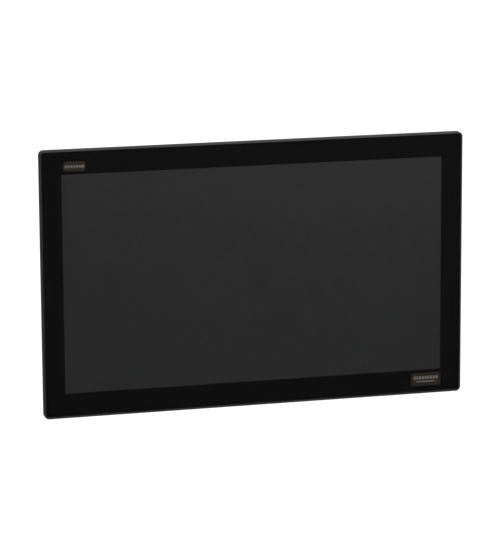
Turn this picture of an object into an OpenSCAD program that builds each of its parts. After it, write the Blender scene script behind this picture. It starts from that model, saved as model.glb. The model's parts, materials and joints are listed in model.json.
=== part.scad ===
// Panel-mount industrial touch panel with a 21.5 inch wide display.
// The pieces are drawn facing the reader: x to the right, y up, z out of the front.
// z = 0 is where the gasket meets the cabinet door. placed() stands the whole panel upright,
// so that its front looks along -Y and its top along +Z.

/* [Display] */
// Width of the display area
display_w = 476; // [380:1:600]
// Height of the display area
display_h = 268; // [200:1:340]
// Edge of the display module beside the display area
lcd_edge_x = 9.8; // [8:0.1:14]
// Edge of the display module above and below the display area
lcd_edge_y = 12.1; // [9:0.1:16]

/* [Front] */
// Depth of the front, from the gasket to the glass
bezel_depth = 10; // [8.3:0.1:13]
// How far the bezel covers the door beyond the cut-out
bezel_overlap = 9.5; // [8:0.1:14]
// Corner radius of the bezel
corner_r = 6; // [5:0.1:12]
// Chamfer round the bezel's front edge
chamfer = 1.4; // [0.8:0.1:2]
// Flat rim between the chamfer and the glass
rim = 0.5; // [0.3:0.1:1.5]
// Thickness of the touch glass
glass_t = 3; // [2:0.1:3.5]
// Gap between the glass and the rim
glass_gap = 0.15; // [0.1:0.05:0.3]
// Thickness of the adhesive tape under the glass
tape_t = 0.9; // [0.7:0.1:1.4]
// Thickness of the touch sensor
sensor_t = 0.8; // [0.5:0.1:1.1]
// Width of the gasket
gasket_w = 4.1; // [3:0.1:5]
// How far the free gasket stands behind the bezel
gasket_proud = 0.5; // [0.3:0.1:1]

/* [Housing] */
// Space from the display module to the housing's outline, left and right
side_gap_x = 6.45; // [6.2:0.05:12]
// Space from the display module to the housing's outline, above and below
side_gap_y = 7.65; // [7.3:0.05:12]
// Clearance between the housing and the cut-out
cutout_gap = 0.75; // [0.5:0.05:1.5]
// Depth of the housing behind the door
housing_depth = 26; // [25.5:0.5:36]
// Wall of the housing
housing_wall = 1.5; // [1.2:0.1:1.8]
// Corner radius of the housing
housing_r = 4; // [3.6:0.1:8]
// Depth of the bezel's skirt inside the housing
skirt_depth = 6; // [5:0.1:7.2]

/* [Clamps] */
// Distance from a clamp's pivot to its pressure screw
clamp_reach = 12; // [11:0.1:14.4]
// Thickness of a clamp arm
arm_t = 5; // [4:0.1:6]
// Travel of a pressure screw
screw_travel = 6; // [4:0.1:6]
// Distance of the outer clamps from the housing's corners
clamp_end = 62; // [50:1:80]

/* [Electronics box] */
// Width of the electronics box
box_w = 270; // [262:1:324]
// Height of the electronics box
box_h = 196; // [163:1:236]
// Depth of the electronics box without its fins
box_depth = 32; // [30.5:0.5:40]
// Height of the cooling fins
fin_h = 8; // [5:0.5:12]
// Spacing of the cooling fins
fin_pitch = 8; // [6:0.5:12]
// Height of the box's centre above the display's centre
box_y = 10; // [0:1:12]
// Spacing of the arm-mount holes
vesa = 100; // [75:25:100]

/* [Service door] */
// Width of the service door
door_w = 56; // [46:1:68]
// Height of the service door
door_h = 44; // [36:1:53]

/* [Hidden] */
$fn = 48;
eps = 0.01;
CLAMP_SITES = [[-1, 0], [0, 0], [1, 0], [0, 1], [-1, 2], [0, 2], [1, 2], [0, 3]]; // place, side
CLAMPS = [1:8];

// Outlines, from the display area outwards
lcd_w = display_w + 2 * lcd_edge_x;
lcd_h = display_h + 2 * lcd_edge_y;
housing_w = lcd_w + 2 * side_gap_x;
housing_h = lcd_h + 2 * side_gap_y;
cutout_w = housing_w + 2 * cutout_gap;
cutout_h = housing_h + 2 * cutout_gap;
panel_w = cutout_w + 2 * bezel_overlap;
panel_h = cutout_h + 2 * bezel_overlap;
glass_inset = chamfer + rim + glass_gap;
glass_w = panel_w - 2 * glass_inset;
glass_h = panel_h - 2 * glass_inset;
glass_r = corner_r - glass_inset;
bezel_opening = 1.2; // clearance of the display module in the bezel
skirt_t = 2;
skirt_fit = 0.15;
skirt_w = housing_w - 2 * (housing_wall + skirt_fit);
skirt_h = housing_h - 2 * (housing_wall + skirt_fit);

// Heights of the front stack, from the glass backwards
print_t = 0.1;
print_z = bezel_depth - glass_t - print_t;
ledge_z = print_z - tape_t;
sensor_z = print_z - sensor_t;
bond_t = 0.3;
lcd_z = sensor_z - bond_t;
lcd_lip_t = 0.5;
cell_t = 1.8;
films_t = 1.2;
guide_t = 4;
reflector_t = 0.4;
tray_t = 1.4;
cell_z = lcd_z - lcd_lip_t - cell_t;
films_z = cell_z - films_t;
guide_z = films_z - guide_t;
reflector_z = guide_z - reflector_t;
lcd_back_z = reflector_z - tray_t;
guide_inset = 4;
led_space = 4.6;

// Gasket groove
gasket_inset = 1.5; // from the cut-out's edge
gasket_play = 0.2;
groove_depth = 1.9;

// Clamps: a clamp's own x runs along the housing's edge and its y points outwards
pivot_inset = 7.6;
screw_inset = 2.8;
rest_angle = asin((pivot_inset - screw_inset) / clamp_reach);
screw_x = clamp_reach * cos(rest_angle);
pivot_r = 2.45;
pivot_play = 0.05;
arm_root_r = 4.6;
arm_tip_r = 3;
jack_r = 1.5;
jack_play = 0.06;
pad_r = 2.3;
pad_t = 2;
pocket_z = -skirt_depth;
pocket_play = 0.8;
pocket_wall = 1.3;
boss_z = pocket_z - 4.5;
arm_play = 0.2;
arm_z = boss_z - arm_play - arm_t;
jack_head_t = 3;
pad_z = -1.5 - screw_travel;
jack_head_z = arm_z - 0.5 - screw_travel - jack_head_t;
notch_depth = screw_inset + pad_r + 0.2;
notch_wall = 0.8;
notch_half = pad_r + 0.7;

// Screws between the housing and the bezel's skirt
side_screw_z = -2.75;
side_screw_end = 22;
side_screw_pitch_x = 200;
side_screw_pitch_y = 120;
m3_r = 1.45; // a tapped hole has the screw's own radius
m3_hole_r = 1.6;
m3_head_r = 2.75;
m25_r = 1.2;
m25_hole_r = 1.3;
m25_head_r = 2.25;

// Display support rails
rail_pitch = 220;
rail_w = 24;
rail_t = 1.5;
rail_flange = 6;
rail_z = -skirt_depth - rail_t;
rail_boss = 5.2;

// Electronics box
housing_z = -housing_depth;
box_wall = 3;
cover_z = housing_z - box_depth;
fins_z = cover_z - fin_h;
fin_t = 2;
box_bottom = box_y - box_h / 2;
board_t = 1.6;
board_w = box_w - 34;
board_h = box_h - 38;
board_rise = 18; // from the housing's back to the board
board_z = housing_z - board_rise - board_t;
board_y = box_bottom + 8 + board_h / 2;
board_top = board_y + board_h / 2;
board_bottom = board_y - board_h / 2;
board_screw_inset = 5;
io_w = box_w - 38;
io_t = 1;
io_lap = 1.8; // of the port plate behind the cover's wall
io_z = board_z - 1;
io_y = box_bottom + box_wall; // the port plate's outer face
port_y = io_y - 0.4; // the ports' open faces
cable_port_w = 46;
cable_port_h = 18;
cable_x = 20;
cable_y = 40;
vesa_pad = 16;
vesa_hole_r = 1.65;
vesa_hole_depth = 10;
vesa_pad_z = fins_z - 0.5;
cover_screw_inset = 7;
cover_screw_seat = cover_z + 2.2;

// Service door, hinged along its top edge
door_x = -92;
door_y = box_bottom + door_h / 2 + 20;
door_t = 1.6;
door_recess = 1.8;
door_play = 0.4;
door_ledge = 4;
hinge_r = 2;
hinge_rise = 2.2;
hinge_y = door_y + door_h / 2 + hinge_rise;
hinge_z = cover_z - hinge_rise;
hinge_pin_r = 1;
hinge_play = 0.05;
barrel_w = 22;
knuckle_w = 6;
knuckle_gap = 0.3;

// Removable power plug
plug_x = -92;
plug_pole = 5.08;
plug_poles = 3;
plug_w = plug_poles * plug_pole + 3;
plug_h = 9;
plug_in = 7;
plug_out = 15;
plug_play = 0.2;
plug_rise = 1; // above the main board
terminal_in = 7; // from the plug's end to its terminal screws
terminal_r = 1.8;
terminal_z = 2.6; // from the plug's middle to the screws' tips

// --- Helpers ---------------------------------------------------------------------------------

// Stands the panel upright
module placed() rotate([90, 0, 0]) children();

// A block between two corners, given as [from, to] along each axis
module span(x, y, z) translate([x[0], y[0], z[0]]) cube([x[1] - x[0], y[1] - y[0], z[1] - z[0]]);

// A block centred on x and y, from z0 to z1
module plate(w, h, z0, z1) span([-w / 2, w / 2], [-h / 2, h / 2], [z0, z1]);

module rod(r, z0, z1) translate([0, 0, z0]) cylinder(r = r, h = z1 - z0);

module rounded(w, h, r) {
    square([w - 2 * r, h], center = true);
    square([w, h - 2 * r], center = true);
    for (x = [-1, 1], y = [-1, 1]) translate([x * (w / 2 - r), y * (h / 2 - r)]) circle(r);
}

// A plate with round corners, from z0 to z1
module slab(w, h, r, z0, z1) translate([0, 0, z0]) linear_extrude(z1 - z0) rounded(w, h, r);

// A flat frame: a slab with a square-cornered or round-cornered opening
module frame(w, h, r, inner_w, inner_h, inner_r, z0, z1) difference() {
    slab(w, h, r, z0, z1);
    if (inner_r > 0) slab(inner_w, inner_h, inner_r, z0 - 1, z1 + 1);
    else plate(inner_w, inner_h, z0 - 1, z1 + 1);
}

// A slab with a chamfer round its front edge
module chamfered_slab(w, h, r, c, z0, z1) {
    module profile(half) polygon([[-half, z0], [half, z0], [half, z1 - c], [half - c, z1],
                                  [c - half, z1], [-half, z1 - c]]);
    rotate([90, 0, 0]) linear_extrude(h - 2 * r, center = true) profile(w / 2);
    rotate([90, 0, 90]) linear_extrude(w - 2 * r, center = true) profile(h / 2);
    for (x = [-1, 1], y = [-1, 1]) translate([x * (w / 2 - r), y * (h / 2 - r), 0]) {
        rod(r, z0, z1 - c);
        translate([0, 0, z1 - c]) cylinder(r1 = r, r2 = r - c, h = c);
    }
}

// Two round ends joined by their tangents
module link(r0, r1, reach) {
    s = (r0 - r1) / reach;
    c = sqrt(1 - s * s);
    circle(r0);
    translate([reach, 0]) circle(r1);
    polygon([[r0 * s, r0 * c], [r0 * s, -r0 * c], [reach + r1 * s, -r1 * c], [reach + r1 * s, r1 * c]]);
}

// Puts a clamp at its place on the housing's outline
module at_clamp(k) {
    place = CLAMP_SITES[k - 1][0];
    side = CLAMP_SITES[k - 1][1];
    half = (side % 2 == 0 ? housing_h : housing_w) / 2;
    rotate([0, 0, -90 * side]) translate([place * (housing_w / 2 - clamp_end), half, 0]) children();
}

module at_clamps() for (k = CLAMPS) at_clamp(k) children();

// Puts a screw on each side of the housing, its z pointing outwards
module at_side_screws() for (side = [0:3]) {
    long = side % 2 == 0;
    along = long ? housing_w / 2 : housing_h / 2;
    half = (long ? housing_h : housing_w) / 2;
    inner = (long ? side_screw_pitch_x : side_screw_pitch_y) / 2;
    for (x = [-1, 1], reach = [along - side_screw_end, inner])
        rotate([0, 0, -90 * side]) translate([x * reach, half, side_screw_z])
            rotate([-90, 0, 0]) children();
}

module at_rail_ends() for (x = [-1, 1], y = [-1, 1])
    translate([x * rail_pitch / 2, y * (skirt_h / 2 - rail_boss / 2), 0]) children();

module at_board_screws() for (x = [-1, 0, 1], y = [-1, 1])
    translate([x * (board_w / 2 - board_screw_inset), board_y + y * (board_h / 2 - board_screw_inset), 0])
        children();

module at_cover_screws() for (x = [-1, 1], y = [-1, 1])
    translate([x * (box_w / 2 - cover_screw_inset), box_y + y * (box_h / 2 - cover_screw_inset), 0])
        children();

module at_vesa() for (x = [-1, 1], y = [-1, 1]) translate([x * vesa / 2, box_y + y * vesa / 2, 0]) children();

// --- Front -----------------------------------------------------------------------------------

module cover_glass() color([0.04, 0.04, 0.045])
    slab(glass_w, glass_h, glass_r, bezel_depth - glass_t, bezel_depth);

// Black ink on the back of the glass, with the display's window in it
module border_print() color([0.02, 0.02, 0.02])
    frame(glass_w, glass_h, glass_r, display_w, display_h, 0, print_z, print_z + print_t);

module badge(w, h, x, y) color([0.10, 0.085, 0.08])
    translate([x, y, 0]) slab(w, h, 3.4, bezel_depth, bezel_depth + 0.3);

module upper_badge() badge(27.5, 12, -display_w / 2 + 15.3, display_h / 2 + 10);

module lower_badge() badge(39.2, 16.5, display_w / 2 - 19.6, -display_h / 2 - 11.9);

module glass_tape() color([0.12, 0.12, 0.12])
    frame(glass_w, glass_h, glass_r, lcd_w + 2 * bezel_opening + 1, lcd_h + 2 * bezel_opening + 1, 2,
          ledge_z, print_z);

sensor_edge = 4;

module touch_sensor() color([0.35, 0.38, 0.40, 0.6])
    plate(display_w + 2 * sensor_edge, display_h + 2 * sensor_edge, sensor_z, print_z);

module optical_bond() color([0.8, 0.85, 0.9, 0.3])
    plate(display_w + 2, display_h + 2, cell_z + cell_t, sensor_z);

module front_bezel() color([0.07, 0.07, 0.075]) {
    flange_z = gasket_proud;
    cut_x = cutout_w + 2 * gasket_inset;
    cut_y = cutout_h + 2 * gasket_inset;
    groove_w = gasket_w + 2 * gasket_play;
    difference() {
        union() {
            chamfered_slab(panel_w, panel_h, corner_r, chamfer, flange_z, bezel_depth);
            slab(skirt_w, skirt_h, housing_r - housing_wall, -skirt_depth, flange_z + 1);
        }
        slab(panel_w - 2 * (chamfer + rim), panel_h - 2 * (chamfer + rim), corner_r - chamfer - rim,
             ledge_z, bezel_depth + 1);
        slab(lcd_w + 2 * bezel_opening, lcd_h + 2 * bezel_opening, 1, -skirt_depth - 1, bezel_depth);
        difference() {
            plate(skirt_w - 2 * skirt_t, skirt_h - 2 * skirt_t, -skirt_depth - 1, flange_z);
            at_rail_ends() plate(12, rail_boss + 1, -skirt_depth - 2, flange_z + 1);
        }
        frame(cut_x + 2 * groove_w, cut_y + 2 * groove_w, 3 + groove_w, cut_x, cut_y, 3,
              -1, flange_z + groove_depth);
        at_clamps() {
            span([pocket_x[0] - pocket_wall - 0.4, pocket_x[1] + pocket_wall + 0.4],
                 [-2 * notch_depth, 0], [-skirt_depth - 1, pocket_z + pocket_wall + 0.3]);
            span([screw_x - notch_half - notch_wall - 0.4, screw_x + notch_half + notch_wall + 0.4],
                 [-2 * notch_depth, 0], [-skirt_depth - 1, flange_z]);
        }
        at_side_screws() rod(m3_r, -6, 0);
        at_rail_ends() rod(m25_r, -skirt_depth - 1, -skirt_depth + 5);
    }
}

module panel_gasket() color([0.10, 0.10, 0.10]) {
    inner_w = cutout_w + 2 * (gasket_inset + gasket_play);
    inner_h = cutout_h + 2 * (gasket_inset + gasket_play);
    frame(inner_w + 2 * gasket_w, inner_h + 2 * gasket_w, 3 + gasket_w, inner_w, inner_h, 3,
          0, gasket_proud + groove_depth);
}

// --- Display module --------------------------------------------------------------------------

frame_wall = 0.6;

module lcd_frame() color([0.25, 0.25, 0.26]) {
    frame(lcd_w, lcd_h, 1, display_w + 3, display_h + 3, 0, lcd_z - lcd_lip_t, lcd_z);
    frame(lcd_w, lcd_h, 1, lcd_w - 2 * frame_wall, lcd_h - 2 * frame_wall, 0,
          reflector_z, lcd_z - lcd_lip_t + eps);
}

module lcd_cell() color([0.13, 0.13, 0.13])
    plate(lcd_w - 2.4, lcd_h - 2.4, cell_z, cell_z + cell_t);

// Diffusing films in front of the light guide and the reflector behind it
module backlight_sheets() color([0.93, 0.93, 0.92]) {
    plate(lcd_w - 2 * guide_inset, lcd_h - 2 * guide_inset, films_z, cell_z);
    plate(lcd_w - 2 * guide_inset, lcd_h - 2 * guide_inset, reflector_z, guide_z);
}

// The guide stops short of the module's lower edge, where the light bar sits
module light_guide() color([0.85, 0.9, 0.9, 0.7])
    span([-1, 1] * (lcd_w / 2 - guide_inset), [-lcd_h / 2 + guide_inset + led_space, lcd_h / 2 - guide_inset],
         [guide_z, films_z]);

led_w = 5.6;
led_pitch = 9;

module led_bar() color([0.9, 0.88, 0.7]) {
    foot = -lcd_h / 2 + guide_inset;
    count = floor((lcd_w - 2 * guide_inset - led_pitch) / (2 * led_pitch));
    span([-1, 1] * (lcd_w / 2 - guide_inset), [foot + 0.4, foot + 1.6], [guide_z, films_z - 0.2]);
    for (k = [-count:count])
        span([k * led_pitch - led_w / 2, k * led_pitch + led_w / 2], [foot + 1.5, foot + led_space - 0.4],
             [guide_z + 0.6, films_z - 0.6]);
}

module lcd_mid_frame() color([0.15, 0.15, 0.15])
    frame(lcd_w - 1.6, lcd_h - 1.6, 0.8, lcd_w - 2 * guide_inset + 0.3, lcd_h - 2 * guide_inset + 0.3, 0,
          reflector_z, cell_z);

tray_panel_w = 54;
tray_panel_pitch = 90;
tray_panel_edge = 35; // above and below the pressed panels

// Its back has a row of pressed panels
module lcd_back_tray() color([0.7, 0.71, 0.72]) difference() {
    count = floor((lcd_w - tray_panel_w) / 2 / tray_panel_pitch);
    slab(lcd_w, lcd_h, 1, lcd_back_z, reflector_z);
    for (k = [-count:count]) translate([k * tray_panel_pitch, 0, 0])
        slab(tray_panel_w, lcd_h - 2 * tray_panel_edge, 6, lcd_back_z - 1, lcd_back_z + 0.5);
}

module support_rails() color([0.72, 0.73, 0.74]) for (s = [-1, 1]) translate([s * rail_pitch / 2, 0, 0])
    difference() {
        union() {
            plate(rail_w, skirt_h - 0.4, rail_z, -skirt_depth);
            for (side = [-1, 1])
                translate([side * (rail_w - rail_t) / 2, 0, 0])
                    plate(rail_t, skirt_h - 32, rail_z - rail_flange, -skirt_depth);
        }
        for (y = [-1, 1]) translate([0, y * (skirt_h / 2 - rail_boss / 2), 0])
            rod(m25_hole_r, rail_z - 1, 0);
    }

rail_pad_end = 66; // from the display module's edge to a pad's middle

module rail_pads() color([0.2, 0.2, 0.22]) for (x = [-1, 1], y = [-1, 1])
    translate([x * rail_pitch / 2, y * (lcd_h / 2 - rail_pad_end), 0])
        plate(20, 60, -skirt_depth, lcd_back_z);

module pan_screw(head_z, tip_z, r = m3_r, head_r = m3_head_r) {
    difference() {
        rod(head_r, head_z - 2, head_z);
        cross_recess(head_z - 2);
    }
    rod(r, head_z - eps, tip_z);
}

module cross_recess(z) for (a = [0, 90]) rotate([0, 0, a]) plate(2.8, 0.7, z - 1, z + 1);

// Screws that hold the rails to the bezel and the main board to its standoffs
module inner_screws() color([0.78, 0.78, 0.8]) {
    at_rail_ends() pan_screw(rail_z, -skirt_depth + 4.5, m25_r, m25_head_r);
    at_board_screws() pan_screw(board_z, board_z + 8);
}

// --- Housing ---------------------------------------------------------------------------------

pocket_x = [-arm_root_r - pocket_play, screw_x + arm_tip_r + pocket_play];
pocket_depth = pivot_inset + arm_root_r + pocket_play;

module pocket_walls() {
    span([pocket_x[0] - pocket_wall, pocket_x[1] + pocket_wall],
         [-pocket_depth - pocket_wall, -housing_wall / 2], [housing_z, pocket_z + pocket_wall]);
    span([screw_x - notch_half - notch_wall, screw_x + notch_half + notch_wall],
         [-notch_depth - notch_wall, -housing_wall / 2], [pocket_z, gasket_proud]);
}

module pocket() {
    span(pocket_x, [-pocket_depth, 1], [housing_z - 1, pocket_z]);
    span([screw_x - notch_half, screw_x + notch_half], [-notch_depth, 1], [pocket_z - 1, gasket_proud + 1]);
}

vent_w = 2.4;
vent_pitch = 6;
vent_count = 9; // on either side of the middle one
vent_gap = 3; // from the electronics box and from the clamps' pockets

// Slots in the housing's back, above and below the electronics box where there is room for them
module back_vents() for (side = [-1, 1]) {
    near = side * box_y + box_h / 2 + vent_gap;
    far = housing_h / 2 - pocket_depth - pocket_wall - vent_gap;
    if (far - near > vent_w) for (k = [-vent_count:vent_count])
        translate([k * vent_pitch, side * (near + far) / 2, 0])
            slab(vent_w, far - near, vent_w / 2 - eps, housing_z - 1, housing_z + housing_wall + 1);
}

module rear_housing() color([0.55, 0.56, 0.58]) {
    inner_z = housing_z + housing_wall;
    difference() {
        union() {
            difference() {
                slab(housing_w, housing_h, housing_r, housing_z, gasket_proud);
                slab(housing_w - 2 * housing_wall, housing_h - 2 * housing_wall, housing_r - housing_wall,
                     inner_z, gasket_proud + 1);
            }
            at_clamps() pocket_walls();
            at_touch_pegs() {
                rod(2.5, inner_z - eps, touch_z);
                rod(touch_peg_r, touch_z - eps, touch_z + board_t + 0.8);
            }
        }
        at_clamps() pocket();
        at_side_screws() screw_cone();
        translate([cable_x, cable_y, 0]) slab(cable_port_w, cable_port_h, 3, housing_z - 1, inner_z + 1);
        at_cover_screws() rod(m3_r, housing_z - 1, inner_z + 1);
        back_vents();
    }
    at_clamps() clamp_boss();
}

module clamp_boss() translate([0, -pivot_inset, 0]) difference() {
    rod(arm_root_r - 0.3, boss_z, pocket_z + eps);
    rod(m3_r, boss_z - 1, pocket_z);
}

module screw_cone() translate([0, 0, -housing_wall]) cylinder(r1 = m3_r, r2 = m3_head_r, h = housing_wall);

module housing_screws() color([0.78, 0.78, 0.8]) at_side_screws() difference() {
    union() {
        screw_cone();
        rod(m3_r, -4, -housing_wall + eps);
    }
    cross_recess(0);
}

// --- Clamps ----------------------------------------------------------------------------------

module clamp_pivots() color([0.78, 0.78, 0.8]) at_clamps() translate([0, -pivot_inset, 0]) difference() {
    union() {
        rod(m3_r, boss_z, pocket_z - 0.3);
        rod(pivot_r, arm_z - arm_play, boss_z);
        rod(4, arm_z - arm_play - 2.2, arm_z - arm_play);
    }
    translate([0, 0, arm_z - arm_play - 3]) cylinder(r = 1.5, h = 2.2, $fn = 6);
}

module clamp_arm(k) color([0.62, 0.63, 0.65]) at_clamp(k) translate([0, -pivot_inset, 0])
    rotate([0, 0, rest_angle]) difference() {
        translate([0, 0, arm_z]) linear_extrude(arm_t) link(arm_root_r, arm_tip_r, clamp_reach);
        rod(pivot_r + pivot_play, arm_z - 1, boss_z);
        translate([clamp_reach, 0, 0]) rod(jack_r + jack_play, arm_z - 1, boss_z);
    }

module clamp_screw(k) color([0.2, 0.2, 0.21]) at_clamp(k) translate([screw_x, -screw_inset, 0])
    difference() {
        union() {
            rod(pad_r, pad_z - pad_t, pad_z);
            rod(jack_r, jack_head_z, pad_z - eps);
            rod(m3_head_r, jack_head_z, jack_head_z + jack_head_t);
        }
        translate([0, 0, jack_head_z - 1]) cylinder(r = 1.45, h = 2.6, $fn = 6);
    }

// --- Inside the housing ----------------------------------------------------------------------

touch_x = -150;
touch_y = -40;
touch_z = housing_z + housing_wall + 4;
touch_top = touch_z + board_t;
touch_w = 70;
touch_h = 36;
touch_peg_r = 1.2;
touch_peg_inset = [5, 4]; // from the controller's edges
touch_plug_y = touch_y - 14;
touch_plug_t = 2;
flex_w = 24;
flex_t = 0.2;

module at_touch_pegs() for (x = [-1, 1], y = [-1, 1])
    translate([touch_x + x * (touch_w / 2 - touch_peg_inset[0]),
               touch_y + y * (touch_h / 2 - touch_peg_inset[1]), 0]) children();

// The board, its chip and the socket for the flat cable
module touch_controller() color([0.05, 0.25, 0.15]) {
    difference() {
        translate([touch_x, touch_y, 0]) plate(touch_w, touch_h, touch_z, touch_top);
        at_touch_pegs() rod(touch_peg_r, touch_z - 1, touch_top + 1);
    }
    translate([touch_x + 8, touch_y + 2, 0]) plate(12, 12, touch_top - eps, touch_top + 1.2);
    translate([touch_x, touch_plug_y, 0]) plate(flex_w + 3, 5, touch_top - eps, touch_top + touch_plug_t);
}

// Flat cable from the sensor's lower edge, round the display module, to the controller
module touch_flex() color([0.75, 0.5, 0.15]) translate([touch_x, 0, 0]) {
    edge_y = -lcd_h / 2 - bezel_opening / 2;
    back_z = lcd_back_z - 1;
    w = [-flex_w / 2, flex_w / 2];
    span(w, [edge_y, -display_h / 2 - 2], [sensor_z - flex_t, sensor_z]);
    span(w, [edge_y, edge_y + flex_t], [back_z, sensor_z]);
    span(w, [edge_y, touch_plug_y + flex_t], [back_z, back_z + flex_t]);
    span(w, [touch_plug_y, touch_plug_y + flex_t], [touch_top + touch_plug_t, back_z + flex_t]);
}

// Flat cable from the back of the display module to the main board
module display_cable() color([0.85, 0.85, 0.82]) translate([cable_x, cable_y, 0]) {
    w = [-15, 15];
    span(w, [-0.5, 24], [lcd_back_z - 1, lcd_back_z]);
    span(w, [-0.5, 0.5], [board_z + board_t + 3, lcd_back_z]);
    span([-18, 18], [-3, 3], [board_z + board_t, board_z + board_t + 3 + eps]);
}

// --- Electronics -----------------------------------------------------------------------------

module main_board() color([0.04, 0.28, 0.14]) difference() {
    translate([0, board_y, 0]) plate(board_w, board_h, board_z, board_z + board_t);
    at_board_screws() rod(m3_hole_r, board_z - 1, board_z + 3);
}

chip_x = 0;
chip_y = box_y + 12;
chip_t = 2.5;

// Processor, memory, coils, capacitors and the switch behind the reset button
module board_parts() color([0.08, 0.08, 0.08]) {
    translate([chip_x, chip_y, 0]) plate(34, 34, board_z - chip_t, board_z);
    for (k = [-1.5:1.5]) translate([48, chip_y + k * 15, 0]) plate(10, 12, board_z - 1.2, board_z);
    for (k = [0:4]) translate([-96 + k * 13, board_top - 12, 0]) plate(10, 10, board_z - 4, board_z);
    for (k = [0:3]) translate([-96 + k * 13, board_top - 30, 0]) rod(4, board_z - 6, board_z);
    span([reset_x - 3, reset_x + 3], [button_y + button_len + reset_travel + 0.1, board_bottom + 6],
         [port_top, port_top + 9]);
}

module heat_spreader() color([0.75, 0.76, 0.78]) translate([chip_x, chip_y, 0])
    plate(60, 60, cover_z + box_wall, board_z - chip_t);

module board_standoffs() color([0.75, 0.72, 0.5]) at_board_screws() difference() {
    rod(3, board_z + board_t, housing_z);
    rod(m3_r, board_z, housing_z - 4);
}

// --- Electronics cover -----------------------------------------------------------------------

fin_first = 10; // from the box's side to the first fin
fin_end = 8; // from the box's top and bottom to the fins

module fins() {
    count = floor((box_w / 2 - fin_first) / fin_pitch);
    for (k = [-count:count])
        span([k * fin_pitch - fin_t / 2, k * fin_pitch + fin_t / 2],
             [box_bottom + fin_end, box_bottom + box_h - fin_end], [fins_z, cover_z + eps]);
}

// The part of the cover's back that is kept free for the service door
module door_space() span([door_x - door_w / 2 - 6, door_x + door_w / 2 + 6],
                         [door_y - door_h / 2 - 6, hinge_y + 9], [fins_z - 1, cover_z]);

module at_hinge() translate([door_x, hinge_y, hinge_z]) rotate([0, 90, 0]) children();

module hinge_knuckle(side) {
    x0 = side * (barrel_w / 2 + knuckle_gap);
    lo = min(x0, x0 + side * knuckle_w);
    at_hinge() rod(hinge_r, lo, lo + knuckle_w);
    span([door_x + lo, door_x + lo + knuckle_w], [hinge_y, hinge_y + hinge_r], [hinge_z, cover_z + eps]);
}

module electronics_cover() color([0.30, 0.31, 0.33]) difference() {
    union() {
        difference() {
            translate([0, box_y, 0]) slab(box_w, box_h, 5, cover_z, housing_z);
            translate([0, box_y, 0]) slab(box_w - 2 * box_wall, box_h - 2 * box_wall, 2,
                                          cover_z + box_wall, housing_z + 1);
        }
        difference() {
            fins();
            door_space();
            at_vesa() plate(vesa_pad - 1, vesa_pad - 1, fins_z - 1, cover_z);
        }
        at_vesa() plate(vesa_pad, vesa_pad, vesa_pad_z, cover_z + eps);
        at_cover_screws() rod(4.5, cover_z + eps, housing_z);
        for (side = [-1, 1]) hinge_knuckle(side);
    }
    at_vesa() rod(vesa_hole_r, vesa_pad_z - 1, vesa_pad_z + vesa_hole_depth);
    at_cover_screws() {
        rod(m3_hole_r, cover_z - 1, housing_z + 1);
        rod(m3_head_r + 0.3, fins_z - 1, cover_screw_seat);
    }
    translate([door_x, door_y, 0]) {
        slab(door_w + 2 * door_play, door_h + 2 * door_play, 2, cover_z - 1, cover_z + door_recess);
        slab(door_w - 2 * door_ledge, door_h - 2 * door_ledge, 2, cover_z, cover_z + box_wall + 1);
        translate([0, -door_h / 2, 0]) plate(16, 6, cover_z - 1, cover_z + 1.2);
    }
    at_hinge() rod(hinge_pin_r, -barrel_w, barrel_w);
    span([-io_w / 2, io_w / 2], [box_bottom - 1, box_bottom + box_wall + 1], [io_z, housing_z + 1]);
    for (x = [-13:13]) translate([x * 8, box_bottom + box_h - box_wall / 2, 0])
        span([-1.5, 1.5], [-4, 4], [housing_z - 22, housing_z - 6]);
}

// Screws that hold the cover to the housing, and the earth screw on the port plate
module case_screws() color([0.78, 0.78, 0.8]) {
    at_cover_screws() pan_screw(cover_screw_seat, housing_z + housing_wall + 2);
    translate([earth_x, io_y, earth_z]) rotate([-90, 0, 0])
        pan_screw(0, io_t + 3, m3_r, m3_head_r + 0.4);
}

module service_door() color([0.16, 0.16, 0.17]) {
    top_y = door_y + door_h / 2;
    barrel_x = [door_x - barrel_w / 2, door_x + barrel_w / 2];
    difference() {
        union() {
            translate([door_x, door_y, 0]) slab(door_w, door_h, 1.8, cover_z, cover_z + door_t);
            at_hinge() rod(hinge_r, -barrel_w / 2, barrel_w / 2);
            span(barrel_x, [top_y - 6, hinge_y], [hinge_z - hinge_r, hinge_z + 1.8]);
            span(barrel_x, [top_y - 6, top_y - 0.6], [hinge_z, cover_z + eps]);
        }
        at_hinge() rod(hinge_pin_r + hinge_play, -barrel_w, barrel_w);
        for (k = [-2:2]) translate([door_x + k * 4, door_y - door_h / 2 + 8, 0])
            plate(1.4, 8, cover_z - 1, cover_z + 0.5);
    }
}

module door_pin() color([0.78, 0.78, 0.8]) at_hinge()
    rod(hinge_pin_r, -barrel_w / 2 - knuckle_gap - knuckle_w, barrel_w / 2 + knuckle_gap + knuckle_w);

// --- Ports along the box's lower side --------------------------------------------------------

lan_x = [-62, -40];
usb_x = [-17, 14];
video_x = 38;
serial_x = 70;
reset_x = 94;
led_x = [101, 106];
earth_x = -110;
port_top = board_z + board_t;
light_z = port_top + 6; // of the lights' and the reset button's middles
earth_z = port_top + 7;
lan_size = [16, 13.5];
usb_size = [13.4, 15.6];
video_size = [17, 6.4];
serial_size = [30.8, 12.5];
header_size = [plug_w + 2.4, plug_h + 2];
port_play = 0.3;

// A port's body on the main board, w wide, h high and d deep, with its open face downwards
module port_body(x, w, h, d) span([x - w / 2, x + w / 2], [port_y, port_y + d], [port_top, port_top + h]);

module port_hole(x, w, h) span([x - w / 2 - port_play, x + w / 2 + port_play], [io_y - 1, io_y + io_t + 1],
                               [port_top - port_play, port_top + h + port_play]);

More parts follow.
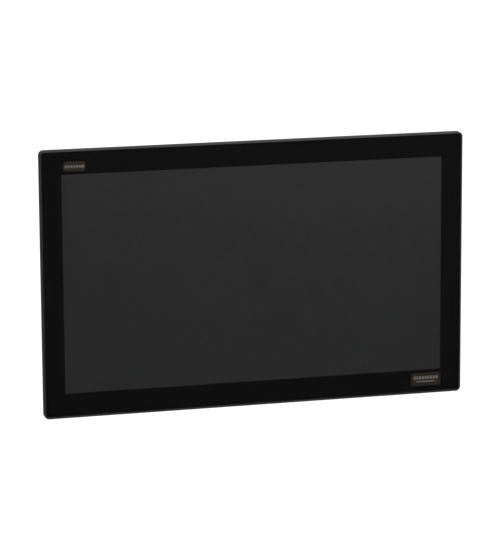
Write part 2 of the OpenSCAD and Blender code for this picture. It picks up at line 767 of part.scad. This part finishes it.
module io_plate() color([0.74, 0.75, 0.77]) difference() {
    span([-1, 1] * (io_w / 2 + io_lap), [io_y, io_y + io_t], [io_z - io_lap, housing_z - 0.2]);
    for (x = lan_x) port_hole(x, lan_size[0], lan_size[1]);
    for (x = usb_x) port_hole(x, usb_size[0], usb_size[1]);
    port_hole(video_x, video_size[0], video_size[1]);
    port_hole(serial_x, serial_size[0], serial_size[1]);
    port_hole(plug_x, header_size[0], header_size[1]);
    for (x = led_x) translate([x, io_y, light_z]) rotate([-90, 0, 0]) rod(led_r + 0.1, -1, 4);
    translate([reset_x, io_y, light_z]) rotate([-90, 0, 0]) rod(button_r + button_play, -1, 4);
    translate([earth_x, io_y, earth_z]) rotate([-90, 0, 0]) rod(m3_r, -1, 4);
}

module lan_sockets() for (x = lan_x) difference() {
    port_body(x, lan_size[0], lan_size[1], 21);
    span([x - 5.9, x + 5.9], [port_y - 1, port_y + 13], [port_top + 3.4, port_top + 10.4]);
    span([x - 3, x + 3], [port_y - 1, port_y + 13], [port_top + 1.4, port_top + 3.5]);
}

module usb_sockets() for (x = usb_x) difference() {
    port_body(x, usb_size[0], usb_size[1], 17);
    for (z = [1.4, 9]) difference() {
        span([x - 6.1, x + 6.1], [port_y - 1, port_y + 9], [port_top + z, port_top + z + 5.2]);
        span([x - 5.2, x + 5.2], [port_y + 0.8, port_y + 10], [port_top + z + 2.9, port_top + z + 4.6]);
    }
}

module video_socket() difference() {
    port_body(video_x, video_size[0], video_size[1], 14);
    difference() {
        span([video_x - 7.4, video_x + 7.4], [port_y - 1, port_y + 9], [port_top + 0.9, port_top + 5.5]);
        span([video_x - 5.6, video_x + 5.6], [port_y + 1, port_y + 10], [port_top + 2.4, port_top + 4]);
    }
}

// Two network sockets, two double serial-bus sockets and a display socket
module data_sockets() color([0.8, 0.8, 0.82]) {
    lan_sockets();
    usb_sockets();
    video_socket();
}

module d_outline(w, h, slope)
    polygon([[-w / 2, h / 2], [w / 2, h / 2], [w / 2 - slope, -h / 2], [slope - w / 2, -h / 2]]);

module serial_socket() color([0.78, 0.78, 0.8]) {
    mid_z = port_top + 6.3;
    port_body(serial_x, serial_size[0], serial_size[1], 10);
    translate([serial_x, port_y + eps, mid_z]) rotate([90, 0, 0]) {
        difference() {
            linear_extrude(6) d_outline(18.6, 10, 1.8);
            translate([0, 0, 1]) linear_extrude(6) d_outline(16.8, 8.2, 1.7);
        }
        for (k = [-2:2]) translate([k * 2.77, 1.4, 0]) rod(0.5, 0, 5);
        for (k = [-1.5:1.5]) translate([k * 2.77, -1.4, 0]) rod(0.5, 0, 5);
        for (x = [-12.5, 12.5]) translate([x, 0, 0]) difference() {
            cylinder(r = 2.7, h = 5, $fn = 6);
            rod(1.2, 1, 6);
        }
    }
}

module power_header() color([0.1, 0.35, 0.15]) difference() {
    port_body(plug_x, header_size[0], header_size[1], 12);
    span([-1, 1] * (plug_w / 2 + plug_play) + [plug_x, plug_x], [port_y - 1, port_y + plug_in + 1],
         [plug_z - plug_play, plug_z + plug_h + plug_play]);
}

plug_z = port_top + plug_rise;

// Puts something on the axis of each terminal screw, with z = 0 at the plug's middle
module at_terminals() for (k = [(1 - plug_poles) / 2:(plug_poles - 1) / 2])
    translate([plug_x + k * plug_pole, port_y - plug_out + terminal_in, plug_z + plug_h / 2]) children();

module power_plug() color([0.12, 0.42, 0.18]) difference() {
    span([plug_x - plug_w / 2, plug_x + plug_w / 2], [port_y - plug_out, port_y + plug_in],
         [plug_z, plug_z + plug_h]);
    at_terminals() {
        span([-1.6, 1.6], [-terminal_in - 1, 0], [-1.6, 1.6]);
        rod(terminal_r, terminal_z, plug_h);
    }
}

module plug_screws() color([0.78, 0.78, 0.8]) at_terminals() difference() {
    rod(terminal_r - 0.1, terminal_z, plug_h / 2 - 0.4);
    plate(2.6, 0.5, plug_h / 2 - 1, plug_h);
}

led_r = 1.5;

module status_leds() color([0.3, 0.8, 0.4]) for (x = led_x) {
    translate([x, port_y, light_z]) rotate([-90, 0, 0]) rod(led_r, 0, 10);
    span([x - 1.9, x + 1.9], [board_bottom + 0.5, board_bottom + 5], [port_top, port_top + 8]);
}

button_r = 2;
button_play = 0.08;
button_len = 5;
button_y = io_y - 0.2;
reset_travel = 0.8;

// The collar behind the port plate keeps the button in
module reset_button() color([0.15, 0.15, 0.16]) translate([reset_x, button_y, light_z])
    rotate([-90, 0, 0]) {
        rod(button_r, 0, button_len);
        rod(button_r + 1, io_t + 0.5, io_t + 1.5);
    }

// --- Behind the service door -----------------------------------------------------------------

card_x = door_x - 5;
card_y = door_y + 1;
card_w = 24;
card_len = 32;
card_t = 2.1;
slot_t = 3.4;
card_z = board_z - slot_t + 0.6;

module card_slot() color([0.75, 0.76, 0.78]) translate([card_x, card_y, 0]) difference() {
    plate(28, 29, board_z - slot_t, board_z);
    span([-card_w / 2 - 0.2, card_w / 2 + 0.2], [-20, 13], [card_z - 0.1, board_z - 0.6]);
}

module storage_card() color([0.1, 0.12, 0.3]) translate([card_x, card_y + 12.5 - card_len, 0])
    span([-card_w / 2, card_w / 2], [0, card_len], [card_z, card_z + card_t]);

module backup_battery() color([0.8, 0.8, 0.8]) translate([door_x + 19.5, door_y + 2, 0])
    rod(8, board_z - 3.6, board_z);

// --- Assembly --------------------------------------------------------------------------------

placed() {
    cover_glass();
    border_print();
    upper_badge();
    lower_badge();
    glass_tape();
    touch_sensor();
    optical_bond();
    front_bezel();
    panel_gasket();
    lcd_frame();
    lcd_cell();
    backlight_sheets();
    light_guide();
    led_bar();
    lcd_mid_frame();
    lcd_back_tray();
    support_rails();
    rail_pads();
    inner_screws();
    rear_housing();
    housing_screws();
    clamp_pivots();
    touch_controller();
    touch_flex();
    display_cable();
    main_board();
    board_parts();
    heat_spreader();
    board_standoffs();
    electronics_cover();
    case_screws();
    io_plate();
    data_sockets();
    serial_socket();
    power_header();
    status_leds();
    card_slot();
    backup_battery();
    storage_card();
    service_door();
    door_pin();
    reset_button();
    power_plug();
    plug_screws();
    for (k = CLAMPS) {
        clamp_arm(k);
        clamp_screw(k);
    }
}
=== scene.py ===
"""Looks of the panel-mount touch panel: materials, small details, light and camera."""
import json
import math

import bmesh
import bpy
from mathutils import Matrix, Vector

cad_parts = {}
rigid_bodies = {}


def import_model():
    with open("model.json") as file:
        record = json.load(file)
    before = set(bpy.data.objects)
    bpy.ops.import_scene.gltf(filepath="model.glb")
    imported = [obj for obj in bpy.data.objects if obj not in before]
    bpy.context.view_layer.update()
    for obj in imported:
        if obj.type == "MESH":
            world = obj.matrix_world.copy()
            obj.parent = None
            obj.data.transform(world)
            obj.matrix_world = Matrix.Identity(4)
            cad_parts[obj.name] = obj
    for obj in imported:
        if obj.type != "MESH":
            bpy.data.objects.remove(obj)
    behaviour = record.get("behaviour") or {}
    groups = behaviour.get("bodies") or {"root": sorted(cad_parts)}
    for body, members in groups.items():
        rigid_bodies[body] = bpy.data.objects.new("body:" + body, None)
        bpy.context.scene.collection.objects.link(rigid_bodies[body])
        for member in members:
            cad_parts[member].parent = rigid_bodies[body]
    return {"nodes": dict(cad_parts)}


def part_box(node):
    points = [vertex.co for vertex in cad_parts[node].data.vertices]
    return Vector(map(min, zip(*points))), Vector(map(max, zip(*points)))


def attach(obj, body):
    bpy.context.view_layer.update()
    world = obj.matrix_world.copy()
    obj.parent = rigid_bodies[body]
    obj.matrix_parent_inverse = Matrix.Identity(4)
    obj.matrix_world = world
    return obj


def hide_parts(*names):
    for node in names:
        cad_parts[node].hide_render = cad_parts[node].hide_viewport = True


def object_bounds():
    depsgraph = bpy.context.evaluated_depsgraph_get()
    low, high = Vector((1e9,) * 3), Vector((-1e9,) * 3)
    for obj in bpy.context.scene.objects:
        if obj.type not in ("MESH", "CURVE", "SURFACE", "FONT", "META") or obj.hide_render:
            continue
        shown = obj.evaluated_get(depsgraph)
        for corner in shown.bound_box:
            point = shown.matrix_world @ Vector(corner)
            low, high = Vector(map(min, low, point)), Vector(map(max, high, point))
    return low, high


for start_object in list(bpy.data.objects):
    bpy.data.objects.remove(start_object)
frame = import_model()
cad_low, cad_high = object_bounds()
nodes = frame["nodes"]
MM = 0.001
SIDES = (-1, 1)
Y_AXIS = 1


def add_object(name, data):
    obj = bpy.data.objects.new(name, data)
    bpy.context.scene.collection.objects.link(obj)
    return obj


# --- Materials -------------------------------------------------------------------------------

def new_material(name):
    m = bpy.data.materials.new(name)
    m.use_nodes = True
    tree = m.node_tree
    tree.nodes.clear()
    out = tree.nodes.new("ShaderNodeOutputMaterial")
    shader = tree.nodes.new("ShaderNodeBsdfPrincipled")
    tree.links.new(shader.outputs[0], out.inputs[0])
    return m, tree, shader


def object_coords(tree):
    return tree.nodes.new("ShaderNodeTexCoord").outputs["Object"]


def noise(tree, scale, detail=2.0, rough=0.5, stretch=(1, 1, 1)):
    """A noise value in the piece's own coordinates; scale is in waves per metre."""
    mapping = tree.nodes.new("ShaderNodeMapping")
    mapping.inputs["Scale"].default_value = stretch
    tex = tree.nodes.new("ShaderNodeTexNoise")
    tex.inputs["Scale"].default_value = scale
    tex.inputs["Detail"].default_value = detail
    tex.inputs["Roughness"].default_value = rough
    tree.links.new(object_coords(tree), mapping.inputs["Vector"])
    tree.links.new(mapping.outputs[0], tex.inputs["Vector"])
    return tex.outputs["Fac"]


def remap(tree, value, low, high, start=0.3, end=0.7):
    node = tree.nodes.new("ShaderNodeMapRange")
    node.inputs["From Min"].default_value = start
    node.inputs["From Max"].default_value = end
    node.inputs["To Min"].default_value = low
    node.inputs["To Max"].default_value = high
    tree.links.new(value, node.inputs["Value"])
    return node.outputs[0]


def blend_colours(tree, value, low, high, start=0.35, end=0.65):
    ramp = tree.nodes.new("ShaderNodeValToRGB")
    ramp.color_ramp.elements[0].position = start
    ramp.color_ramp.elements[0].color = (*low, 1)
    ramp.color_ramp.elements[1].position = end
    ramp.color_ramp.elements[1].color = (*high, 1)
    tree.links.new(value, ramp.inputs[0])
    return ramp.outputs[0]


def grain(tree, shader, height, scale, depth, strength=1.0, detail=2.0, stretch=(1, 1, 1), edge=0.0):
    """Grain of a given depth in metres, from height or from noise; edge softens the piece's corners."""
    bump = tree.nodes.new("ShaderNodeBump")
    bump.inputs["Distance"].default_value = depth
    bump.inputs["Strength"].default_value = strength
    tree.links.new(height if height is not None else noise(tree, scale, detail, stretch=stretch),
                   bump.inputs["Height"])
    if edge:
        bevel = tree.nodes.new("ShaderNodeBevel")
        bevel.samples = 4
        bevel.inputs["Radius"].default_value = edge
        tree.links.new(bevel.outputs[0], bump.inputs["Normal"])
    tree.links.new(bump.outputs[0], shader.inputs["Normal"])


def scaled(colour, share):
    return tuple(c * share for c in colour)


def surface(name, colour, rough, metal=0.0, level=0.5, vary=0.12, patch=60, fine=1500, depth=20e-6,
            rough_vary=0.08, stretch=(1, 1, 1), edge=0.0, coat=0.0):
    """A surface with patchy colour and gloss, and a fine grain."""
    m, tree, shader = new_material(name)
    patches = noise(tree, patch, 4.0, 0.6, stretch)
    tree.links.new(blend_colours(tree, patches, scaled(colour, 1 - vary), scaled(colour, 1 + vary)),
                   shader.inputs["Base Color"])
    smears = noise(tree, patch * 3, 3.0, stretch=stretch)
    tree.links.new(remap(tree, smears, rough - rough_vary, rough + rough_vary), shader.inputs["Roughness"])
    shader.inputs["Metallic"].default_value = metal
    shader.inputs["Specular IOR Level"].default_value = level
    shader.inputs["Coat Weight"].default_value = coat
    grain(tree, shader, None, fine, depth, stretch=stretch, edge=edge)
    return m


def clear(name, alpha, rough, colour=(0.005, 0.005, 0.006), level=0.5, fine=3000, depth=1e-6):
    """A clear layer: alpha is how much of it is seen."""
    m, tree, shader = new_material(name)
    shader.inputs["Base Color"].default_value = (*colour, 1)
    shader.inputs["Alpha"].default_value = alpha
    shader.inputs["Specular IOR Level"].default_value = level
    smears = noise(tree, 40, 3.0)
    tree.links.new(remap(tree, smears, rough * 0.9, rough * 1.1), shader.inputs["Roughness"])
    grain(tree, shader, None, fine, depth)
    return m


def galvanised(name, colour, rough):
    """Zinc-coated sheet: flat crystals of slightly different shade and gloss."""
    crystals_per_metre = 260
    m, tree, shader = new_material(name)
    cells = tree.nodes.new("ShaderNodeTexVoronoi")
    cells.inputs["Scale"].default_value = crystals_per_metre
    tree.links.new(object_coords(tree), cells.inputs["Vector"])
    shade = tree.nodes.new("ShaderNodeSeparateColor")
    tree.links.new(cells.outputs["Color"], shade.inputs[0])
    tree.links.new(blend_colours(tree, shade.outputs[0], scaled(colour, 0.90), scaled(colour, 1.08), 0, 1),
                   shader.inputs["Base Color"])
    gloss = remap(tree, shade.outputs[1], rough - 0.03, rough + 0.05, 0, 1)
    tree.links.new(gloss, shader.inputs["Roughness"])
    shader.inputs["Metallic"].default_value = 1.0
    grain(tree, shader, None, 700, 8e-6, edge=0.3 * MM)
    return m


def circuit(name, colour):
    """Solder mask over copper tracks."""
    tracks_per_metre, track_share = 120, 0.06
    m, tree, shader = new_material(name)
    tracks = tree.nodes.new("ShaderNodeTexBrick")
    tracks.inputs["Scale"].default_value = tracks_per_metre
    tracks.inputs["Mortar Size"].default_value = track_share
    tracks.inputs["Color1"].default_value = (*colour, 1)
    tracks.inputs["Color2"].default_value = (*scaled(colour, 0.85), 1)
    tracks.inputs["Mortar"].default_value = (*scaled(colour, 1.7), 1)
    turn = tree.nodes.new("ShaderNodeMapping")
    turn.inputs["Rotation"].default_value = (math.pi / 2, 0, 0)
    tree.links.new(object_coords(tree), turn.inputs["Vector"])
    tree.links.new(turn.outputs[0], tracks.inputs["Vector"])
    tree.links.new(tracks.outputs["Color"], shader.inputs["Base Color"])
    shader.inputs["Roughness"].default_value = 0.32
    grain(tree, shader, tracks.outputs["Fac"], 0, 15e-6, strength=0.5)
    return m


BLACK_COAT = surface("black powder coat", (0.016, 0.016, 0.0165), 0.9, level=0.03, patch=90, fine=2600,
                     depth=14e-6, edge=0.25 * MM)
CASTING = surface("dark grey casting", (0.055, 0.057, 0.060), 0.5, level=0.45, patch=35, fine=1400,
                  depth=40e-6, edge=0.5 * MM)
GLASS = clear("coated glass", 0.06, 0.16)
INK = surface("black ink", (0.0008, 0.0008, 0.0008), 0.6, level=0.0, fine=4000, depth=2e-6)
SENSOR = clear("touch sensor film", 0.55, 0.5, (0.0115, 0.0115, 0.0116), level=0.02)
BOND = clear("clear bonding gel", 0.01, 0.3, level=0.1)
POLARISER = surface("matt display polariser", (0.010, 0.010, 0.0101), 0.55, level=0.02, vary=0.02, patch=3,
                    fine=5000, depth=4e-6)
BADGE = surface("dark badge foil", (0.0068, 0.0053, 0.0047), 0.5, level=0.05, vary=0.1, patch=700, fine=5000,
                depth=5e-6)
PALE_INK = surface("pale ink", (0.082, 0.078, 0.075), 0.5, level=0.1, patch=900, fine=4000, depth=4e-6)
FOAM = surface("closed-cell foam", (0.018, 0.018, 0.018), 0.9, level=0.2, vary=0.3, patch=900, fine=2500,
               depth=120e-6)
TAPE = surface("foam tape", (0.012, 0.012, 0.012), 0.8, level=0.2, vary=0.2, patch=900, fine=2500,
               depth=60e-6)
ZINC_SHEET = galvanised("zinc-coated sheet", (0.40, 0.41, 0.42), 0.42)
PLATED_SHEET = surface("plated sheet", (0.58, 0.59, 0.60), 0.34, metal=1, vary=0.05, fine=900, depth=6e-6,
                       edge=0.2 * MM)
DARK_SHEET = surface("blackened sheet", (0.10, 0.10, 0.105), 0.42, metal=1, vary=0.1, fine=900, depth=6e-6)
NICKEL = surface("nickel-plated shell", (0.66, 0.65, 0.63), 0.24, metal=1, vary=0.04, patch=200, fine=2000,
                 depth=4e-6, edge=0.2 * MM)
SCREW = surface("zinc-plated screw", (0.62, 0.62, 0.63), 0.3, metal=1, vary=0.08, patch=400, fine=3000,
                depth=6e-6, edge=0.15 * MM)
ZINC_CAST = surface("plated zinc casting", (0.36, 0.37, 0.385), 0.4, metal=1, vary=0.1, patch=150, fine=1800,
                    depth=20e-6, edge=0.4 * MM)
BLACK_OXIDE = surface("black oxide steel", (0.05, 0.05, 0.053), 0.38, metal=1, vary=0.15, patch=500,
                      fine=3000, depth=8e-6, edge=0.2 * MM)
BRASS = surface("plated brass", (0.62, 0.5, 0.24), 0.3, metal=1, vary=0.06, patch=300, fine=2500, depth=5e-6)
GOLD = surface("gold contact", (0.85, 0.62, 0.24), 0.22, metal=1, vary=0.04, patch=600, fine=4000, depth=3e-6)
ALUMINIUM = surface("milled aluminium", (0.78, 0.79, 0.80), 0.3, metal=1, vary=0.05, patch=80, fine=700,
                    depth=10e-6, stretch=(1, 1, 12))
MASK = circuit("green solder mask", (0.012, 0.085, 0.035))
CHIP = surface("moulded chip", (0.022, 0.022, 0.024), 0.55, vary=0.15, patch=500, fine=3500, depth=15e-6)
FILMS = surface("diffusing film", (0.82, 0.82, 0.80), 0.6, vary=0.02, fine=3000, depth=5e-6)
ACRYLIC = clear("clear acrylic", 0.25, 0.08, (0.7, 0.74, 0.74))
LED_BOARD = surface("light bar", (0.75, 0.70, 0.42), 0.5, vary=0.05, patch=400)
POLYIMIDE = surface("amber flat cable", (0.48, 0.23, 0.03), 0.3, vary=0.1, patch=300, fine=2500, depth=8e-6)
RIBBON = surface("pale flat cable", (0.66, 0.66, 0.62), 0.45, vary=0.15, patch=500, fine=2500, depth=20e-6,
                 stretch=(6, 1, 0.2))
BLACK_PLASTIC = surface("textured black plastic", (0.022, 0.022, 0.024), 0.55, vary=0.12, patch=200,
                        fine=2200, depth=45e-6, edge=0.3 * MM)
GREEN_PLASTIC = surface("green terminal plastic", (0.02, 0.20, 0.07), 0.42, vary=0.08, patch=250, fine=2000,
                        depth=20e-6, edge=0.25 * MM)
BLUE_PLASTIC = surface("dark blue card", (0.018, 0.03, 0.10), 0.4, vary=0.06, patch=300, fine=2500,
                       depth=12e-6, edge=0.2 * MM)
LENS = surface("green light pipe", (0.16, 0.55, 0.24), 0.25, vary=0.08, patch=500, fine=2000, depth=6e-6,
               coat=0.5)
LABEL = surface("silver label", (0.60, 0.61, 0.62), 0.42, metal=0.6, vary=0.03, patch=300, fine=3000,
                depth=5e-6)
LABEL_INK = surface("label ink", (0.05, 0.05, 0.055), 0.5, patch=600, fine=3000, depth=3e-6)

CLAMPS = range(1, 9)
FINISHES = {
    GLASS: ["cover_glass"], INK: ["border_print"], SENSOR: ["touch_sensor"], BOND: ["optical_bond"],
    POLARISER: ["lcd_cell"], BADGE: ["upper_badge", "lower_badge"], BLACK_COAT: ["front_bezel"],
    TAPE: ["glass_tape", "rail_pads"], FOAM: ["panel_gasket"], DARK_SHEET: ["lcd_frame"],
    FILMS: ["backlight_sheets"], ACRYLIC: ["light_guide"], LED_BOARD: ["led_bar"],
    BLACK_PLASTIC: ["lcd_mid_frame", "service_door", "reset_button"],
    PLATED_SHEET: ["lcd_back_tray", "support_rails", "io_plate", "backup_battery"],
    SCREW: ["inner_screws", "housing_screws", "clamp_pivots", "case_screws", "door_pin", "plug_screws"],
    ZINC_SHEET: ["rear_housing"], MASK: ["touch_controller", "main_board"], POLYIMIDE: ["touch_flex"],
    RIBBON: ["display_cable"], CHIP: ["board_parts"], ALUMINIUM: ["heat_spreader"],
    BRASS: ["board_standoffs"], CASTING: ["electronics_cover"],
    NICKEL: ["data_sockets", "serial_socket", "card_slot"], GREEN_PLASTIC: ["power_header", "power_plug"],
    LENS: ["status_leds"], BLUE_PLASTIC: ["storage_card"],
    ZINC_CAST: [f"clamp_arm_{k}" for k in CLAMPS],
    BLACK_OXIDE: [f"clamp_screw_{k}" for k in CLAMPS],
}
for finish, names in FINISHES.items():
    for name in names:
        for slot in nodes[name].material_slots:
            slot.material = finish


# --- Small pieces ----------------------------------------------------------------------------

def centre_of(node):
    low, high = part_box(node)
    return (Vector(low) + Vector(high)) / 2


def size_of(node):
    low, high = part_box(node)
    return Vector(high) - Vector(low)


def to_mesh(bm, name):
    mesh = bpy.data.meshes.new(name)
    bm.to_mesh(mesh)
    bm.free()
    return mesh


def finish_piece(name, bm, material):
    """A new piece that rides on the panel. All the pieces that move are CAD nodes."""
    mesh = to_mesh(bm, name)
    mesh.materials.append(material)
    piece = add_object(name, mesh)
    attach(piece, "panel")
    return piece


def soft_blocks(name, boxes, material, bevel, segments=1, only_along=None):
    """One piece of blocks with softened edges; each block is (centre, size)."""
    whole = bmesh.new()
    for centre, size in boxes:
        bm = bmesh.new()
        bmesh.ops.create_cube(bm, size=1, matrix=Matrix.Translation(centre) @ Matrix.Diagonal((*size, 1)))
        edges = bm.edges[:]
        if only_along is not None:  # just the edges that run along this axis
            edges = [e for e in edges
                     if abs((e.verts[0].co - e.verts[1].co).normalized()[only_along]) > 0.99]
        bmesh.ops.bevel(bm, geom=edges, offset=bevel, segments=segments, affect="EDGES", profile=0.5)
        part = to_mesh(bm, "part")
        whole.from_mesh(part)
        bpy.data.meshes.remove(part)
    finish_piece(name, whole, material)


def loft(rings):
    """A closed solid through rings of points."""
    bm = bmesh.new()
    loops = [[bm.verts.new(point) for point in ring] for ring in rings]
    count = len(loops[0])
    for a, b in zip(loops, loops[1:]):
        for k in range(count):
            bm.faces.new((a[k], a[(k + 1) % count], b[(k + 1) % count], b[k]))
    bm.faces.new(loops[0][::-1])
    bm.faces.new(loops[-1])
    bmesh.ops.recalc_face_normals(bm, faces=bm.faces)
    return bm


BADGE_RADIUS = 3.4 * MM
BADGE_EDGE = 0.15 * MM
CORNER_STEPS = 8
MARK_RISE = 0.04 * MM  # of the plain bars over the badge's face


def badge(node, bars):
    """A badge with rounded corners and a softened face, and a plain mark of pale bars."""
    name = node + "_plate"
    centre, size = centre_of(node), size_of(node)
    face_y = centre.y - size.y / 2 + MARK_RISE
    reach_x, reach_z = size.x / 2 - BADGE_RADIUS, size.z / 2 - BADGE_RADIUS
    rings = []
    for inset, y in ((0, centre.y + size.y / 2), (0, centre.y - size.y * 0.1), (BADGE_EDGE, face_y)):
        radius = BADGE_RADIUS - inset
        ring = []
        for corner, (sx, sz) in enumerate(((1, 1), (-1, 1), (-1, -1), (1, -1))):
            for k in range(CORNER_STEPS + 1):
                angle = math.pi / 2 * (corner + k / CORNER_STEPS)
                ring.append((centre.x + sx * reach_x + radius * math.cos(angle), y,
                             centre.z + sz * reach_z + radius * math.sin(angle)))
        rings.append(ring)
    plate = finish_piece(name, loft(rings), BADGE)
    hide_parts(node)
    boxes = [((centre.x + x * MM, face_y, centre.z + z * MM), (w * MM, MARK_RISE * 2, h * MM))
             for x, z, w, h in bars]
    soft_blocks(name + "_mark", boxes, PALE_INK, 0.01 * MM)


# Each bar is (x, z, width, height) in millimetres from the badge's middle
badge("upper_badge", [(k * 3.5, 0, 1.3, 3.2) for k in range(-3, 4)])
badge("lower_badge", [(k * 3.6, 2.2, 1.7, 4.0) for k in range(-4, 5)] + [(0, -2.6, 24, 0.9)])

# A blank rating label and a blank serial label on the housing's back
LABEL_X = 190 * MM
LABEL_T = 0.12 * MM
LABEL_RADIUS = 2 * MM
LABEL_MARGIN = 4 * MM
LINE_W = 0.35 * MM
LINE_T = 0.03 * MM
LINE_RISE = 0.01 * MM  # of a line's middle above the label


def label(name, z, width, height, rows):
    """A label with ruled lines and no text."""
    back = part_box("rear_housing")[1][1]
    soft_blocks(name, [((LABEL_X, back + LABEL_T / 2, z), (width, LABEL_T, height))], LABEL,
                LABEL_RADIUS, 4, only_along=Y_AXIS)
    line_y = back + LABEL_T + LINE_RISE
    inner_w, inner_h = width - 2 * LABEL_MARGIN, height - 2 * LABEL_MARGIN
    ink = [((LABEL_X, line_y, z + height / 2 - LABEL_MARGIN - k * inner_h / rows), (inner_w, LINE_T, LINE_W))
           for k in range(rows + 1)]
    ink += [((LABEL_X + side * inner_w / 2, line_y, z), (LINE_W, LINE_T, inner_h)) for side in SIDES]
    soft_blocks(name + "_lines", ink, LABEL_INK, 0.005 * MM)


label("rating_label", 45 * MM, 78 * MM, 46 * MM, 4)
label("serial_label", -5 * MM, 60 * MM, 18 * MM, 1)

# Contacts and tongues in the sockets, in millimetres. The ports open downwards and stand on the board.
board_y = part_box("main_board")[0][1]
face_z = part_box("data_sockets")[0][2]
LAN_X, USB_X, VIDEO_X, SERIAL_X = (-62, -40), (-17, 14), 38, 70
LAN_PINS, LAN_PITCH = 8, 1.02
USB_ROWS = (1.4, 9)  # undersides of the two openings in a double socket
USB_PINS = (-3.5, -1.2, 1.2, 3.5)
VIDEO_PINS = 10
VIDEO_MID, SERIAL_MID = 3.2, 6.3  # heights of the sockets' middles above the board


def in_port(x, rise, depth, size):
    """A block in a port: x across, rise from the board and depth from the face, all to its centre."""
    return ((x * MM, board_y - rise * MM, face_z + depth * MM), tuple(side * MM for side in size))


def port_pieces(name, blocks, material, bevel=0.05):
    soft_blocks(name, blocks, material, bevel * MM)


port_pieces("network_contacts",
            [in_port(x + (k - (LAN_PINS - 1) / 2) * LAN_PITCH, rise=10.15, depth=6.5, size=(0.46, 0.7, 9))
             for x in LAN_X for k in range(LAN_PINS)], GOLD)
port_pieces("network_liners",
            [in_port(x, rise=6.9, depth=12.8, size=(11.6, 6.9, 0.4)) for x in LAN_X], BLACK_PLASTIC)
port_pieces("network_lights",
            [in_port(x + side * 5.6, rise=12.2, depth=0.02, size=(2.6, 1.3, 0.3))
             for x in LAN_X for side in SIDES], LENS, 0.1)
port_pieces("bus_tongues",
            [in_port(x, rise=z + 3.75, depth=5, size=(10.6, 1.9, 8.2))
             for x in USB_X for z in USB_ROWS], BLUE_PLASTIC, 0.15)
port_pieces("bus_contacts",
            [in_port(x + pin, rise=z + 2.78, depth=5, size=(1.1, 0.12, 7))
             for x in USB_X for z in USB_ROWS for pin in USB_PINS], GOLD, 0.02)
port_pieces("display_tongue",
            [in_port(VIDEO_X, rise=VIDEO_MID, depth=5, size=(11.4, 1.8, 7.8))], BLACK_PLASTIC, 0.15)
port_pieces("display_contacts",
            [in_port(VIDEO_X + k - (VIDEO_PINS - 1) / 2, rise=VIDEO_MID + side * 0.93, depth=5,
                     size=(0.5, 0.1, 6.8)) for k in range(VIDEO_PINS) for side in SIDES], GOLD, 0.02)


def serial_insert():
    """The black face that the pins of the serial socket stand in."""
    half_w, slope, half_h = 8.2, 1.6, 4.0
    outline = [(-half_w, -half_h), (half_w, -half_h), (half_w - slope, half_h), (slope - half_w, half_h)]
    bm = loft([[(SERIAL_X * MM + x * MM, board_y - (SERIAL_MID - y) * MM, face_z - depth * MM)
                for x, y in outline] for depth in (0.9, 1.6)])
    bmesh.ops.bevel(bm, geom=bm.edges[:], offset=0.1 * MM, segments=1, affect="EDGES", profile=0.5)
    finish_piece("serial_insert", bm, BLACK_PLASTIC)


serial_insert()


# --- Stage, light and camera -----------------------------------------------------------------

FLOOR_Z = -1.9
FLOOR_RADIUS = 40
floor_bm = bmesh.new()
bmesh.ops.create_circle(floor_bm, cap_ends=True, segments=96, radius=FLOOR_RADIUS)
floor = add_object("floor", to_mesh(floor_bm, "floor"))
floor.location.z = FLOOR_Z
floor.data.materials.append(surface("pale floor", (0.86, 0.86, 0.86), 0.9, level=0.0, vary=0.0, fine=20,
                                    depth=1e-5, rough_vary=0.02))

world = bpy.data.worlds.new("studio")
bpy.context.scene.world = world
world.use_nodes = True
backdrop = world.node_tree.nodes["Background"]
backdrop.inputs["Color"].default_value = (1, 1, 1, 1)
backdrop.inputs["Strength"].default_value = 1.0


def softbox(name, place, aim, size, watts):
    light = bpy.data.lights.new(name, "AREA")
    light.shape = "RECTANGLE"
    light.size, light.size_y = size
    light.energy = watts
    lamp = add_object(name, light)
    lamp.location = place
    lamp.rotation_mode = "QUATERNION"
    lamp.rotation_quaternion = (Vector(aim) - Vector(place)).to_track_quat("-Z", "Y")
    lamp.visible_camera = False


softbox("overhead softbox", place=(0.15, -0.60, 0.72), aim=(0, 0, 0.1), size=(0.9, 0.4), watts=22)
softbox("front key", place=(0.9, -1.3, 1.3), aim=(0, 0, 0), size=(0.8, 0.8), watts=5)
softbox("rear fill", place=(1.6, 3.4, 1.2), aim=(0, 0, 0), size=(2.0, 2.0), watts=12)

SKY_TILT = (math.radians(8), math.radians(6), 0)
SKY_WIDTH = math.radians(100)
sky_light = bpy.data.lights.new("wide sky light", "SUN")
sky_light.energy = 1.2
sky_light.angle = SKY_WIDTH
add_object("wide sky light", sky_light).rotation_euler = SKY_TILT

CAMERA_AZIMUTH = math.radians(-14.778)
CAMERA_ELEVATION = math.radians(11.655)
CAMERA_ROLL = math.radians(-0.316)
CAMERA_DISTANCE = 3.5257
CAMERA_AIM = Vector((-7.4 * MM, cad_low.y, -0.1 * MM))
CAMERA_LENS = 189.57
CAMERA_SENSOR = 36
CAMERA_CLIP_END = 200

camera_data = bpy.data.cameras.new("camera")
camera_data.lens = CAMERA_LENS
camera_data.sensor_width = CAMERA_SENSOR
camera_data.clip_end = CAMERA_CLIP_END
camera = add_object("camera", camera_data)
turn = (Matrix.Rotation(CAMERA_AZIMUTH, 4, "Z") @ Matrix.Rotation(math.pi / 2 - CAMERA_ELEVATION, 4, "X")
        @ Matrix.Rotation(CAMERA_ROLL, 4, "Z"))
camera.matrix_world = Matrix.Translation(CAMERA_AIM + turn.to_3x3() @ Vector((0, 0, CAMERA_DISTANCE))) @ turn
bpy.context.scene.camera = camera

bpy.context.scene.view_settings.view_transform = "Standard"
bpy.context.scene.view_settings.look = "None"
CLEAR_CROSSINGS = 24  # the light crosses the glass, gel and sensor on its way in and out
bpy.context.scene.cycles.transparent_max_bounces = CLEAR_CROSSINGS
